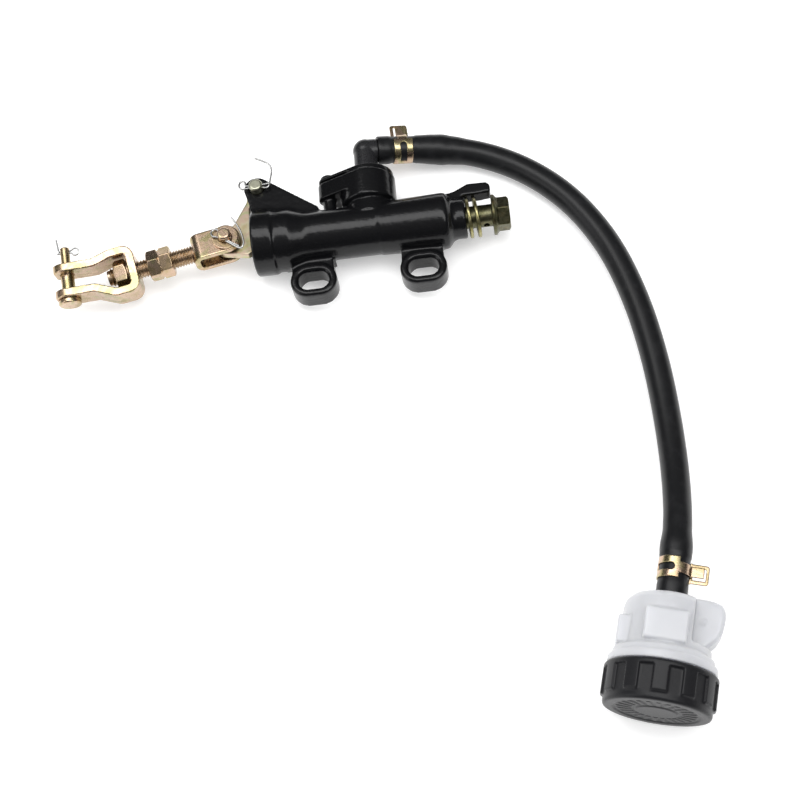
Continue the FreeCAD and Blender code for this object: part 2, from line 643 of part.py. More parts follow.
def hose_route():
    """The hose's corner points from the elbow down to the table and up to the reservoir."""
    lean = math.radians(reservoir_turn)
    along = V(math.cos(lean), math.sin(lean), 0)
    corner = V(inlet_x, elbow_centre_y, axis_z)
    start = corner + elbow_direction() * (elbow_reach + 0.05)
    second = corner + elbow_direction() * (elbow_reach + 29.0)
    end = V(reservoir_x, reservoir_y, reservoir_z) + along * (shoulder - 0.05)
    last = end - along * 24.0
    middle = [(64.9, 54.2, 0.6), (87.9, 34.8, 0.6), (103.6, 8.9, 0.6), (112.2, -19.8, 0.6), (116.4, -49.6, 0.6),
              (117.4, -79.5, 1.8), (116.2, -109.3, 6.6)]
    return [tuple(start), tuple(second)] + middle + [tuple(last), tuple(end)]


def reservoir_hose():
    """The rubber hose: straight runs joined by the widest arcs that fit."""
    route = hose_route()
    points = [V(*p) for p in route]
    runs = [(points[i + 1] - points[i]).Length for i in range(len(points) - 1)]
    bends = []
    for i in range(1, len(points) - 1):
        turn = (points[i] - points[i - 1]).getAngle(points[i + 1] - points[i])
        bends.append(0.45 * min(runs[i - 1], runs[i]) / math.tan(turn / 2))
    print("hose runs", [round(r, 1) for r in runs])
    print("hose radii", [round(b, 1) for b in bends])
    outer = bent_wire(route, hose_radius, bends)
    inner = bent_wire(route, hose_bore_radius, bends)
    hose = outer.cut(inner)
    area = math.pi * (hose_radius ** 2 - hose_bore_radius ** 2)
    print("hose length from volume", round(hose.Volume / area, 1), "volume", round(hose.Volume, 1))
    return hose


def hose_clamp(width):
    """A spring band clamp about local X: slotted band, tongue through a window, ends bent out along -Y."""
    inner = hose_radius + 0.05
    outer = inner + 0.65
    band = ring(outer, inner, (-width / 2, 0, 0), (width / 2, 0, 0))
    slot = belt(0, 1.6, 1.4, 0, 9.0, 1.4, 0, 20)
    notch_a = Part.makeBox(width, 9.6, 9.0, V(2.1, -11.2, -0.6))
    notch_b = Part.makeBox(width, 9.6, 9.0, V(-2.1 - width, -11.2, -0.6))
    band = band.cut([slot, notch_a, notch_b])
    frame = Part.makeBox(width - 0.4, 7.6, 0.65, V(-width / 2 + 0.2, -inner - 7.4, -1.3))
    frame = frame.makeFillet(1.2, [e for e in frame.Edges if e.BoundBox.YMax < -12 and e.BoundBox.ZLength > 0.5])
    window = Part.makeBox(4.8, 5.0, 3, V(-2.4, -inner - 6.2, -2))
    frame = frame.cut(window)
    tongue = Part.makeBox(4.2, 6.2, 0.65, V(-2.1, -inner - 5.4, 1.4))
    return band.fuse([frame, tongue]).cut(cylinder(inner, (-width, 0, 0), (width, 0, 0)))


def clamp_on_hose(width, distance, far_end):
    """Places a clamp on the straight run at one end of the hose."""
    route = [V(*p) for p in hose_route()]
    clamp = hose_clamp(width)
    if far_end:
        start = route[-1]
        axis = V(route[-2] - route[-1]).normalize()
    else:
        start = route[0]
        axis = V(route[1] - route[0]).normalize()
        clamp.rotate(V(0, 0, 0), V(0, 0, 1), 180)
    turn = FreeCAD.Rotation(V(1, 0, 0), axis)
    clamp.Placement = FreeCAD.Placement(start + axis * distance, turn).multiply(clamp.Placement)
    return clamp


def reservoir_shell():
    """The outer shape of the reservoir's cup, with the flat on its ear side."""
    top = shoulder
    outside = [(top, 0), (top, 5.0), (top + 0.4, 12.0), (top + 1.4, 14.6), (top + 3.6, 16.6), (top + 6.4, 17.2)]
    outside += [(19.6, 17.7), (20.4, 19.2), (22.6, 19.6), (22.9, 20.6), (cap_low - 0.3, 20.9)]
    outside += [(cap_low - 0.3, 18.2), (37.6, 18.2), (37.6, 0)]
    return turned(outside).cut(Part.makeBox(20.0, 20.0, 50.0, V(top - 1, 9.0, -25)))


def reservoir_ear():
    """The ear on the cup's side, hollow from behind for its mounting screw."""
    top = shoulder
    ear = plate([(top + 0.1, 2), (top + 0.1, 16.4), (top + 0.9, 19.3), (top + 3.0, 20.7), (3.6, 21.2), (9.0, 20.6),
                 (12.4, 19.0), (15.2, 16.4), (17.4, 14.2), (19.8, 2)], -6.5, 6.5)
    ear = ear.makeFillet(1.8, [e for e in ear.Edges if e.BoundBox.YMin > 13 and e.BoundBox.ZLength < 1])
    bore = Part.makeCylinder(3.3, 9.0, V(6.4, 14.8, -6.5), V(0, 0, 1))
    mark = Part.makeCylinder(1.6, 1.0, V(6.4, 12.6, 6.25), V(0, 0, 1))
    return to_reservoir(ear.cut([reservoir_shell(), bore, mark]))


def reservoir_body():
    """The translucent cup: round body, sight panels, rings, threaded neck and hose nipple."""
    panel = Part.makeBox(12.0, 16.0, 6.0, V(6.5, -8.8, 12.4))
    panel = panel.makeFillet(0.8, [e for e in panel.Edges if e.BoundBox.ZMin > 18])
    rear_panel = Part.makeBox(10.5, 5.0, 15.0, V(9.0, -18.6, -4.5))
    rear_panel = rear_panel.makeFillet(0.8, [e for e in rear_panel.Edges if e.BoundBox.YMax < -18])
    nipple = cylinder(barb_radius, (shoulder - 19.0, 0, 0), (shoulder + 0.5, 0, 0))
    hollow = turned([(0.0, 0), (0.0, 11.5), (2.6, 14.6), (19.6, 15.8), (38.6, 15.8), (38.6, 0)])
    hollow = hollow.cut(Part.makeBox(21.0, 30.0, 50.0, V(-3, 7.2, -25)))
    outlet = cylinder(2.0, (shoulder - 20.0, 0, 0), (1.0, 0, 0))
    return to_reservoir(reservoir_shell().fuse([panel, rear_panel, nipple]).cut([hollow, outlet]))


def diaphragm():
    """The rubber diaphragm hanging in the reservoir's neck under its plate."""
    outline = [(37.65, 18.0), (38.7, 18.0), (38.7, 0), (34.2, 0), (34.2, 9.0), (29.8, 11.0), (29.8, 14.0), (31.2, 15.5)]
    outline += [(37.65, 15.5)]
    hollow = turned([(35.4, 0), (35.4, 9.6), (31.0, 11.8), (31.0, 13.4), (32.2, 14.3), (38.8, 14.3), (38.8, 0)])
    return to_reservoir(turned(outline).cut(hollow))


def diaphragm_plate():
    """The plastic plate between the diaphragm and the cap."""
    outline = [(38.72, 0), (38.72, 18.0), (39.75, 18.0), (39.75, 0)]
    body = turned(outline)
    vent = Part.makeCylinder(1.2, 4, V(37.7, 6.0, 0), V(1, 0, 0))
    return to_reservoir(body.cut(vent))


def reservoir_cap():
    """The screw cap: top band, twelve wide lobes, flush rim and a plain ringed face."""
    inside = 18.35
    rim = cap_radius - 1.1
    outline = [(cap_low, inside), (cap_low, cap_radius - 0.6), (cap_low + 0.6, cap_radius), (38.2, cap_radius)]
    outline += [(38.7, rim), (40.8, rim), (41.5, rim - 0.35), (cap_high, rim - 1.0), (cap_high, 16.5)]
    outline += [(cap_high - 0.5, 16.2), (cap_high - 0.5, 8.1), (cap_high, 7.8), (cap_high, 0), (39.8, 0), (39.8, inside)]
    cap = turned(outline)
    flutes = []
    for i in range(12):
        flute = Part.makeBox(16, 6, 5.6, V(cap_low + 2.2, rim, -2.8))
        flute.rotate(V(0, 0, 0), V(1, 0, 0), 30 * i + 16.5)
        flutes.append(flute)
    ticks = []
    for i in range(24):
        tick = Part.makeBox(0.45, 5.4, 1.5, V(cap_high - 0.55, 9.6, -0.75))
        tick.rotate(V(0, 0, 0), V(1, 0, 0), 15 * i)
        ticks.append(tick)
    return to_reservoir(cap.cut(flutes).fuse(ticks))


def main():
    os.makedirs("parts", exist_ok=True)
    save("cylinder_body", cylinder_body())
    save("piston", piston())
    save("primary_cup", cup(0.05, 4.3))
    save("secondary_cup", cup(-26.4, -23.1))
    save("return_spring", return_spring())
    save("stop_washer", ring(10.9, 4.2, (-35.2, axis_y, axis_z), (-34.02, axis_y, axis_z)))
    save("circlip", ring(11.9, 8.8, (-36.4, axis_y, axis_z), (-35.35, axis_y, axis_z)))
    save("dust_boot", dust_boot())
    save("lever", lever())
    save("pivot_pin", pivot_pin())
    save("pivot_split_pin", pivot_split_pin())
    save("link_bracket", link_bracket())
    save("link_pin", link_pin())
    front = axis_z + bracket_depth / 2
    save("link_washer", ring(5.8, pin_radius + 0.1, (link_x, link_y, front + 0.03), (link_x, link_y, front + 1.2)))
    save("link_split_pin", link_split_pin())
    save("threaded_rod", threaded_rod())
    save("lock_nuts", Part.makeCompound([nut(12.0, 4.05, along_rod(25.2), along_rod(30.6), 12),
                                         nut(12.0, 4.05, along_rod(30.7), along_rod(36.1), 2)]))
    save("rod_clevis", rod_clevis())
    save("spring_washer", ring(5.7, 4.1, along_rod(fork_base + 1.95), along_rod(fork_base + 2.75)))
    save("fork_nut", nut(12.0, 4.05, along_rod(fork_base + 2.8), along_rod(fork_base + 8.4), 20))
    save("clevis_pin", clevis_pin())
    save("clevis_split_pin", clevis_split_pin())
    save("inlet_elbow", inlet_elbow())
    save("inlet_grommet", inlet_grommet())
    save("elbow_retainer", elbow_retainer())
    save("elbow_screw", elbow_screw())
    save("banjo_bolt", banjo_bolt())
    save("crush_washers", crush_washers())
    save("reservoir_hose", reservoir_hose())
    save("hose_clamp_upper", clamp_on_hose(8.4, 11.3, False))
    save("hose_clamp_lower", clamp_on_hose(8.4, 11.4, True))
    save("reservoir_body", reservoir_body())
    save("reservoir_ear", reservoir_ear())
    save("diaphragm", diaphragm())
    save("diaphragm_plate", diaphragm_plate())
    save("reservoir_cap", reservoir_cap())


main()
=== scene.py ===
# %% [markdown]
# This lesson finishes a rear foot-brake master cylinder of a motorcycle: a painted casting with a
# pull lever and a clevis rod, a rubber feed hose, and a milky fluid reservoir with a screw cap.
# The CAD model already gives every piece its true size and place in one shared frame, in metres.
# We load it first, so that everything we add lies in that frame and needs no fitting.

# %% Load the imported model
import json
import math
import bpy
from mathutils import Matrix, Vector

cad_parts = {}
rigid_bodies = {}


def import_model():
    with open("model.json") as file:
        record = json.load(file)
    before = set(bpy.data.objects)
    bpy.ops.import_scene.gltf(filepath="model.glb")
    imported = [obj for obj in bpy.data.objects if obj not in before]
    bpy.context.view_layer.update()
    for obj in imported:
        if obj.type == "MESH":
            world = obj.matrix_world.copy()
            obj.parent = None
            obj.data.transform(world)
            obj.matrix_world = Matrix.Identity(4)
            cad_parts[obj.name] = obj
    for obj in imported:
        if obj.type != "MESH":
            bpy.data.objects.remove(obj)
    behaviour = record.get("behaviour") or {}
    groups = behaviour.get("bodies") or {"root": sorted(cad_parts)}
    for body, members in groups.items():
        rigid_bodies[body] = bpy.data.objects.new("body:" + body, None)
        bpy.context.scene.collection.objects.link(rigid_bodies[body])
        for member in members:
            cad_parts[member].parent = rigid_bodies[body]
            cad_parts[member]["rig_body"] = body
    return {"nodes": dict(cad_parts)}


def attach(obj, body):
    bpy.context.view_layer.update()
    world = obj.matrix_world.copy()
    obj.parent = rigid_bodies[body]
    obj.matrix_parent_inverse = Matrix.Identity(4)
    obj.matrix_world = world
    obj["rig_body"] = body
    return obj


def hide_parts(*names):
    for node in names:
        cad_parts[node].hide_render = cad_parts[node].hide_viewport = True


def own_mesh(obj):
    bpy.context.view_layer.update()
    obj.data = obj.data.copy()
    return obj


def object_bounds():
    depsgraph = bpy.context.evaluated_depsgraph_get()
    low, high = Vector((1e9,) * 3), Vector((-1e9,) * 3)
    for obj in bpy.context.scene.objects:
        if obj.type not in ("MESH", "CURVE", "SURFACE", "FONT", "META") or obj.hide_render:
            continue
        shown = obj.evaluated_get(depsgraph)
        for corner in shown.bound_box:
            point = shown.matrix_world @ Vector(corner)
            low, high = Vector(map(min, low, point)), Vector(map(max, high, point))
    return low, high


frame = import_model()
cad_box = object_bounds()
print("nodes loaded:", len(frame["nodes"]), "box:", [[round(v, 4) for v in corner] for corner in cad_box])

# %% [markdown]
# The camera stands in front of the part and well above it, as for a catalogue picture.
# Three unit vectors, to its right, above it and behind it, say how it is turned.
# A lens of about 70 mm from 70 cm away keeps the perspective mild, as product pictures do.

# %% Camera
camera_right = Vector((0.99145, -0.08236, -0.10119))
camera_up = Vector((0.11634, 0.90910, 0.40001))
camera_back = Vector((0.05904, -0.40836, 0.91091))
turned = Matrix((camera_right, camera_up, camera_back)).transposed().to_4x4()
camera_data = bpy.data.cameras.new("camera")
camera_data.lens = 70.38
camera_data.sensor_width = 36.0
camera = bpy.data.objects.new("camera", camera_data)
camera.matrix_world = Matrix.Translation((0.047, -0.327, 0.602)) @ turned
bpy.context.collection.objects.link(camera)
bpy.context.scene.camera = camera
print("camera stands", round(camera.location.length, 3), "m from the lugs")

# %% [markdown]
# The feed hose leaves the elbow behind the casting, sweeps round in one wide bow and ends on the
# reservoir's nipple. We give only the points that its line is drawn towards and let a NURBS
# spline find the smooth line between them, because a stiff hose has no corners. The line is
# then read back from the spline as a string of points, which the skin of the hose will follow.
# The spline has a helper of its own, because the split pins further on are drawn the same way.

# %% Line of the hose
hose_route = [
    (0.00832, 0.06261, 0.00787), (0.03659, 0.06424, 0.00185), (0.0649, 0.0542, 0.0006),
    (0.0879, 0.0348, 0.0006), (0.1036, 0.0089, 0.0006), (0.1122, -0.0198, 0.0006),
    (0.1164, -0.0496, 0.0006), (0.1174, -0.0795, 0.0018), (0.1162, -0.1093, 0.0066),
    (0.11201, -0.13732, 0.0161), (0.10556, -0.16044, 0.0161)]


def drawn_curve(name, route, steps):
    """A curve object whose smooth NURBS line is drawn towards the points of a route."""
    curve = bpy.data.curves.new(name, "CURVE")
    curve.dimensions = "3D"
    curve.resolution_u = steps
    spline = curve.splines.new("NURBS")
    spline.points.add(len(route) - 1)
    for point, place in zip(spline.points, route):
        point.co = (*place, 1.0)
    spline.order_u = 3
    spline.use_endpoint_u = True
    drawn = bpy.data.objects.new(name, curve)
    bpy.context.collection.objects.link(drawn)
    return drawn


def smooth_line(route, steps):
    """The points of the smooth line that a spline draws towards a route."""
    drawn = drawn_curve("line", route, steps)
    points = [vertex.co.copy() for vertex in bpy.data.meshes.new_from_object(drawn).vertices]
    bpy.data.objects.remove(drawn)
    return points


hose_line = smooth_line(hose_route, steps=24)

# %% [markdown]
# A rubber hose isn't the same thickness all along. It swells where it is pushed over a barb,
# is drawn in under each spring clamp, and bulges a little beside the clamp. A short list of
# distances and radii says all that, and rings of points set across the line become the skin.
# The rings turn along with the line, so that the skin has no twist. Each end face is closed
# by a short bore, because the cut end of the hose is seen beside the elbow.

# %% Skin of the hose
hose_bore_radius = 0.0036
ring_spacing = 0.0008
bore_rings = 9
hose_profile = [
    (0.0, 0.00615), (0.0008, 0.00632), (0.0048, 0.0063), (0.0068, 0.00592), (0.0156, 0.00592),
    (0.018, 0.0063), (0.025, 0.0067), (0.029, 0.0069), (0.034, 0.0064), (0.041, 0.00586),
    (0.15, 0.00575), (0.255, 0.00566), (0.262, 0.00572), (0.2706, 0.00642), (0.274, 0.0063),
    (0.276, 0.00592), (0.2846, 0.00592), (0.2862, 0.0061), (0.2907, 0.0061), (0.2915, 0.0059)]


def profile_radius(profile, along):
    """The radius at a distance along the line, eased from one listed value to the next."""
    for (start, low), (end, high) in zip(profile, profile[1:]):
        if along <= end:
            part = max(0.0, (along - start) / (end - start))
            return low + (high - low) * part * part * (3.0 - 2.0 * part)
    return profile[-1][1]


def fine_line(line, step):
    """The same line with its points at even distances."""
    places, along = [line[0]], 0.0
    for start, end in zip(line, line[1:]):
        length = (end - start).length
        while along + step <= length:
            along += step
            places.append(start.lerp(end, along / length))
        along -= length
    return places + [line[-1]]


def hose_skin(name, line, profile, bore, sides):
    """A closed tube along a line, its radius taken from a profile, with a short bore at each end."""
    across = (line[1] - line[0]).cross(Vector((0, 0, 1))).normalized()
    rings, along = [], 0.0
    for number, place in enumerate(line):
        before, after = line[max(number - 1, 0)], line[min(number + 1, len(line) - 1)]
        ahead = (after - before).normalized()
        across = (across - ahead * across.dot(ahead)).normalized()
        upward = ahead.cross(across)
        along += (place - before).length
        rings.append((place, across, upward, profile_radius(profile, along)))
    near_bore = [(*rings[number][:3], bore) for number in (bore_rings, 0)]
    far_bore = [(*rings[number][:3], bore) for number in (-1, -1 - bore_rings)]
    rings = near_bore + rings + far_bore
    corners, faces = [], []
    for place, across, upward, radius in rings:
        for number in range(sides):
            angle = 2 * math.pi * number / sides
            corners.append(place + (across * math.cos(angle) + upward * math.sin(angle)) * radius)
    for ring in range(len(rings) - 1):
        for number in range(sides):
            beside = (number + 1) % sides
            a, b = ring * sides, (ring + 1) * sides
            faces.append((a + number, a + beside, b + beside, b + number))
    faces.append(tuple(range(sides - 1, -1, -1)))
    faces.append(tuple(range((len(rings) - 1) * sides, len(rings) * sides)))
    mesh = bpy.data.meshes.new(name)
    mesh.from_pydata(corners, [], faces)
    piece = bpy.data.objects.new(name, mesh)
    bpy.context.collection.objects.link(piece)
    return piece


def pick(piece):
    """Selects one object and nothing else."""
    bpy.ops.object.select_all(action="DESELECT")
    bpy.context.view_layer.objects.active = piece
    piece.select_set(True)


hose = hose_skin(
    "feed_hose", fine_line(hose_line, ring_spacing), hose_profile, hose_bore_radius, sides=40)
pick(hose)
bpy.ops.object.mode_set(mode="EDIT")
bpy.ops.mesh.select_all(action="SELECT")
bpy.ops.mesh.normals_make_consistent(inside=False)
bpy.ops.object.mode_set(mode="OBJECT")
bpy.ops.object.shade_smooth_by_angle(angle=math.radians(50))
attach(hose, "cylinder")
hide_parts("reservoir_hose")
print("hose skin:", len(hose.data.polygons), "faces")

# %% [markdown]
# Shader maths reads best as plain sums. This small class wraps one socket of a material, so
# that 0.2 + noise * 0.1 adds the Math nodes by itself. Its one method, node, makes any other
# node: its type, then its settings, then what goes into its sockets, as values or as links.

# %% A socket that can be calculated with
class Signal:
    """One output socket of a material."""

    def __init__(self, socket):
        self.socket = socket
        self.tree = socket.id_data

    def node(self, kind, settings, sockets, take=0):
        """A new node of any type, returned as the signal of one of its outputs."""
        made = self.tree.nodes.new(kind)
        for name, value in settings.items():
            if name == "stops":
                for place, colour in value[1:-1]:
                    made.color_ramp.elements.new(place)
                for element, (place, colour) in zip(made.color_ramp.elements, value):
                    element.position = place
                    element.color = (*colour, 1.0)
            else:
                setattr(made, name, value)
        for name, value in sockets.items():
            named = [s for s in made.inputs if s.enabled and s.name == name]
            place = named[0] if named else made.inputs[int(name)]
            if isinstance(value, Signal):
                self.tree.links.new(value.socket, place)
            else:
                place.default_value = value
        return Signal([s for s in made.outputs if s.enabled][take])

    def maths(self, operation, first, second):
        return self.node("ShaderNodeMath", {"operation": operation}, {"0": first, "1": second})

    def __add__(self, other):
        return self.maths("ADD", self, other)

    def __mul__(self, other):
        return self.maths("MULTIPLY", self, other)

    __radd__ = __add__
    __rmul__ = __mul__


print("signals can be added and multiplied")

# %% [markdown]
# Every finish begins the same way: a material with one Principled shader, some values that
# are the same all over, and then a few links for what varies over the surface. One helper
# makes the material and hands back its shader and the place on the surface, in metres.
# All patterns read that place, so they sit still on the part as the camera moves round it.

# %% Start of a finish
def new_finish(name, **fixed):
    """A material, its Principled shader with fixed values, and the place on the surface."""
    material = bpy.data.materials.new(name)
    material.use_nodes = True
    shader = material.node_tree.nodes["Principled BSDF"]
    for socket, value in fixed.items():
        shader.inputs[socket.replace("_", " ")].default_value = value
    place_node = material.node_tree.nodes.new("ShaderNodeTexCoord")
    return material, shader, Signal(place_node.outputs["Object"])


def feed(shader, socket, signal):
    """Links a signal to one socket of the shader."""
    signal.tree.links.new(signal.socket, shader.inputs[socket])


def speckle(place, scale, detail=3.0, distortion=0.0):
    """Even noise between 0 and 1, scale being lumps to the metre."""
    return place.node("ShaderNodeTexNoise", {}, {
        "Vector": place, "Scale": scale, "Detail": detail, "Distortion": distortion})


def grade(signal, stops):
    """A colour or a mask graded from a signal by the stops of a ramp."""
    return signal.node("ShaderNodeValToRGB", {"stops": stops}, {"Fac": signal})


def relief(height, depth, strength=1.0):
    """A bump of a depth in metres, for the Normal socket."""
    return height.node("ShaderNodeBump", {}, {"Height": height, "Distance": depth, "Strength": strength})


def blend_colour(mask, low, high):
    """One colour where the mask is 0, another where it is 1."""
    return mask.node("ShaderNodeMix", {"data_type": "RGBA"}, {"Factor": mask, "A": low, "B": high})


print("finish helpers ready")

# %% [markdown]
# The casting is sprayed with gloss black paint over cast aluminium. Thick gloss paint over a
# rough casting shows as soft lumps of a millimetre or two, the orange peel, that make the
# edges of each highlight wander. A little fine dust lifts the black here and there.
# Roughness follows the lumps a little, so that the gloss isn't the same all over.

# %% Gloss black paint
gloss_black, shader, place = new_finish(
    "gloss_black_paint", Specular_IOR_Level=0.22, Coat_Weight=0.12, Coat_Roughness=0.08)
peel = speckle(place, 620.0, 2.0)
grain = speckle(place, 2600.0, 3.0)
dust = grade(speckle(place, 5200.0, 2.0), [(0.0, (0, 0, 0)), (0.70, (0, 0, 0)), (0.76, (1, 1, 1))])
feed(shader, "Base Color", blend_colour(dust * 0.16, (0.0035, 0.0036, 0.0042, 1), (0.20, 0.20, 0.21, 1)))
feed(shader, "Roughness", peel * 0.10 + grain * 0.05 + 0.14)
feed(shader, "Normal", relief(peel + grain * 0.16, 0.00013, 0.75))
print("finish:", gloss_black.name)

# %% [markdown]
# The clevis, the bracket, the nuts, the rod and the clamps are pressed or turned steel with a
# yellow passivated zinc plate. That film is thin enough to split light, so it drifts from
# straw gold to pink and pale green over a few millimetres. A ramp over slow, folded noise gives
# that drift, and finer noise gives the drag marks of the tumbling barrel.
# The lever's film is thinner, and so paler, with more pink and green in it.

# %% Yellow zinc plate
def zinc_plate(name, stops, rough, scale, drag=0.00003):
    """A passivated zinc film that drifts between the colours of the stops."""
    material, shader, place = new_finish(name, Metallic=1.0)
    drift = speckle(place, scale, 3.0, 1.4)
    tint = grade(drift, stops)
    marks = speckle(place, 1900.0, 4.0)
    stain = grade(speckle(place, 420.0, 4.0, 0.6), [(0.0, (0, 0, 0)), (0.56, (0, 0, 0)), (0.72, (1, 1, 1))])
    feed(shader, "Base Color", blend_colour(stain * 0.28, tint, (0.30, 0.20, 0.09, 1)))
    feed(shader, "Roughness", marks * 0.16 + stain * 0.10 + rough)
    feed(shader, "Normal", relief(marks, drag, 0.6))
    print("finish:", name)
    return material


gold_zinc = zinc_plate("gold_zinc", [
    (0.30, (0.36, 0.28, 0.15)), (0.42, (0.47, 0.35, 0.22)), (0.50, (0.54, 0.39, 0.29)),
    (0.58, (0.43, 0.37, 0.21)), (0.70, (0.34, 0.28, 0.14))], 0.18, 70.0)
pale_zinc = zinc_plate("pale_zinc", [
    (0.32, (0.46, 0.38, 0.23)), (0.42, (0.54, 0.49, 0.34)), (0.50, (0.56, 0.42, 0.33)),
    (0.58, (0.46, 0.47, 0.28)), (0.68, (0.48, 0.40, 0.22))], 0.24, 90.0)
bronze_zinc = zinc_plate("bronze_zinc", [
    (0.30, (0.28, 0.20, 0.12)), (0.45, (0.42, 0.31, 0.20)), (0.55, (0.50, 0.38, 0.28)),
    (0.70, (0.35, 0.28, 0.16))], 0.22, 90.0, 0.000008)

# %% [markdown]
# The outlet bolt and its sealing washers carry an olive drab passivation. It is a darker and
# duller film over the same zinc, so the same recipe serves with other colours and more
# roughness. The washers are a shade more golden than the bolt.

# %% Olive drab plate
olive_zinc = zinc_plate("olive_zinc", [
    (0.32, (0.055, 0.055, 0.028)), (0.46, (0.095, 0.092, 0.05)), (0.56, (0.13, 0.125, 0.075)),
    (0.68, (0.07, 0.068, 0.036))], 0.26, 200.0)
olive_gold = zinc_plate("olive_gold", [
    (0.32, (0.19, 0.17, 0.07)), (0.46, (0.30, 0.275, 0.13)), (0.56, (0.36, 0.33, 0.18)),
    (0.68, (0.22, 0.20, 0.09))], 0.24, 200.0)

# %% [markdown]
# The pins that carry the lever are plain or clear-plated steel, and the split pins are bright
# drawn wire. Their steel differs mostly in roughness, so one helper makes them all. Fine
# noise in the roughness keeps even a small pin from looking like a mirror.

# %% Steels
def steel(name, low, high, rough):
    """Bare or clear-plated steel between two greys."""
    material, shader, place = new_finish(name, Metallic=1.0)
    cloud = speckle(place, 300.0, 4.0)
    feed(shader, "Base Color", blend_colour(cloud, low, high))
    feed(shader, "Roughness", speckle(place, 2400.0, 3.0) * 0.14 + rough)
    feed(shader, "Normal", relief(speckle(place, 3000.0, 3.0), 0.00002, 0.5))
    print("finish:", name)
    return material


bright_wire = steel("bright_wire", (0.34, 0.34, 0.34, 1), (0.58, 0.58, 0.57, 1), 0.16)
pin_steel = steel("pin_steel", (0.40, 0.40, 0.30, 1), (0.60, 0.60, 0.48, 1), 0.24)
spring_steel = steel("spring_steel", (0.32, 0.32, 0.33, 1), (0.55, 0.55, 0.56, 1), 0.22)
dark_steel = steel("blackened_steel", (0.02, 0.02, 0.021, 1), (0.06, 0.06, 0.062, 1), 0.34)
anodised = steel("anodised_alloy", (0.40, 0.42, 0.45, 1), (0.58, 0.60, 0.62, 1), 0.32)

# %% [markdown]
# The hose is extruded rubber with a satin bloom. It is black, yet under a soft light it shows a
# broad grey sheen along its length, and its skin has fine pores and a few scuffs. The seals and
# the boot are moulded rubber with a duller skin, so they take the same recipe with more
# roughness.

# %% Rubbers
def rubber(name, colour, bloom, rough, depth):
    """Black rubber with a bloom of paler grey and a fine pored skin."""
    material, shader, place = new_finish(name, Specular_IOR_Level=0.28)
    scuff = grade(speckle(place, 240.0, 4.0, 0.5), [(0.0, (0, 0, 0)), (0.5, (0, 0, 0)), (0.8, (1, 1, 1))])
    pores = speckle(place, 4200.0, 2.0)
    feed(shader, "Base Color", blend_colour(scuff * 0.5, colour, bloom))
    feed(shader, "Roughness", pores * 0.10 + scuff * 0.08 + rough)
    feed(shader, "Normal", relief(pores, depth, 0.6))
    print("finish:", name)
    return material


hose_rubber = rubber("hose_rubber", (0.006, 0.0062, 0.007, 1), (0.016, 0.016, 0.018, 1), 0.30, 0.00003)
seal_rubber = rubber("seal_rubber", (0.012, 0.012, 0.012, 1), (0.024, 0.024, 0.024, 1), 0.48, 0.00004)
hose.data.materials.append(hose_rubber)

# %% [markdown]
# Three plastics are left. The elbow is black glass-filled nylon with a satin skin. The cap is
# moulded in a black that looks charcoal, with a spark-eroded texture that breaks its sheen. The
# cup is milky: some light passes into it and comes out softened, so it is white where it
# is thick, and darker and bluer where only the thin wall and the dark inside lie behind it.

# %% Plastics
elbow_black, shader, place = new_finish("black_nylon", Specular_IOR_Level=0.3)
skin = speckle(place, 1700.0, 3.0)
feed(shader, "Base Color", blend_colour(skin, (0.010, 0.010, 0.011, 1), (0.020, 0.020, 0.022, 1)))
feed(shader, "Roughness", skin * 0.12 + 0.22)
feed(shader, "Normal", relief(skin, 0.00005, 0.6))
cap_black, shader, place = new_finish("charcoal_moulding", Specular_IOR_Level=0.22)
eroded = speckle(place, 3000.0, 3.0)
feed(shader, "Base Color", blend_colour(eroded, (0.006, 0.0062, 0.0072, 1), (0.014, 0.014, 0.016, 1)))
feed(shader, "Roughness", eroded * 0.14 + 0.30)
feed(shader, "Normal", relief(eroded, 0.00006, 0.7))
milky_cup, shader, place = new_finish(
    "milky_cup", IOR=1.48, Subsurface_Weight=0.55, Subsurface_Scale=0.006, Transmission_Weight=0.22)
shader.inputs["Subsurface Radius"].default_value = (1.0, 1.0, 1.1)
haze = speckle(place, 90.0, 3.0, 0.4)
feed(shader, "Base Color", blend_colour(haze, (0.54, 0.548, 0.575, 1), (0.63, 0.638, 0.662, 1)))
feed(shader, "Roughness", speckle(place, 1500.0, 3.0) * 0.10 + 0.27)
feed(shader, "Normal", relief(speckle(place, 900.0, 2.0), 0.00005, 0.5))
print("finishes:", elbow_black.name, cap_black.name, milky_cup.name)

# %% [markdown]
# CAD edges are perfectly sharp, and real ones never are. A casting has radii of a millimetre,
# a pressed plate has rolled edges, and even a nut is broken at its corners, and it's those small
# radii that catch the light. We copy the CAD piece, merge its doubles, give it an even skin of
# small faces with a voxel remesh, and smooth that skin a few times, which rounds the edges
# by about one or two voxels and leaves the faces where they were. Two nodes that are one
# moulding on the real part, the cup and its ear, are joined before their skin is made.

# %% Pieces with eased edges
touching = 0.000002


def weld(piece):
    """Merges the doubled corners that a CAD mesh has along its edges."""
    pick(piece)
    bpy.ops.object.mode_set(mode="EDIT")
    bpy.ops.mesh.select_all(action="SELECT")
    bpy.ops.mesh.remove_doubles(threshold=touching)
    bpy.ops.object.mode_set(mode="OBJECT")


